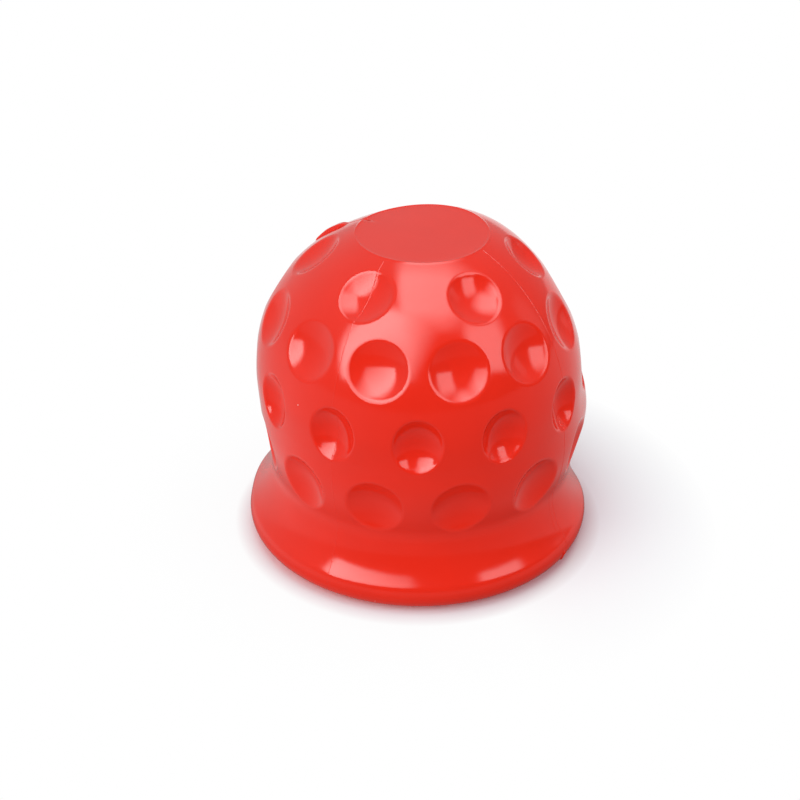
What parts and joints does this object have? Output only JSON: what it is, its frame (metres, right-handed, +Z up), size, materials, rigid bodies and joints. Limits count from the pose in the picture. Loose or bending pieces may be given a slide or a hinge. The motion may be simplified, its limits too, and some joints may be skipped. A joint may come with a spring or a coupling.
{
  "type": "tow ball cover",
  "caption": "Soft round cap with a dimpled dome, a flat crown, a waist and a flared skirt with a rolled lip, open underneath, that pushes over a towing ball to keep grease in and dirt off.",
  "frame": {"origin": "centre of the base ring, on the surface that the cover stands on", "axes": "+Z up along the axis of the round head, out of the flat crown; -Y towards the front of the picture"},
  "size_m": [0.064, 0.064, 0.06],
  "materials": {
    "soft_red": "glossy soft moulded plastic, bright red"
  },
  "bodies": {
    "root": {"cover": "soft_red"}
  },
  "joints": []
}
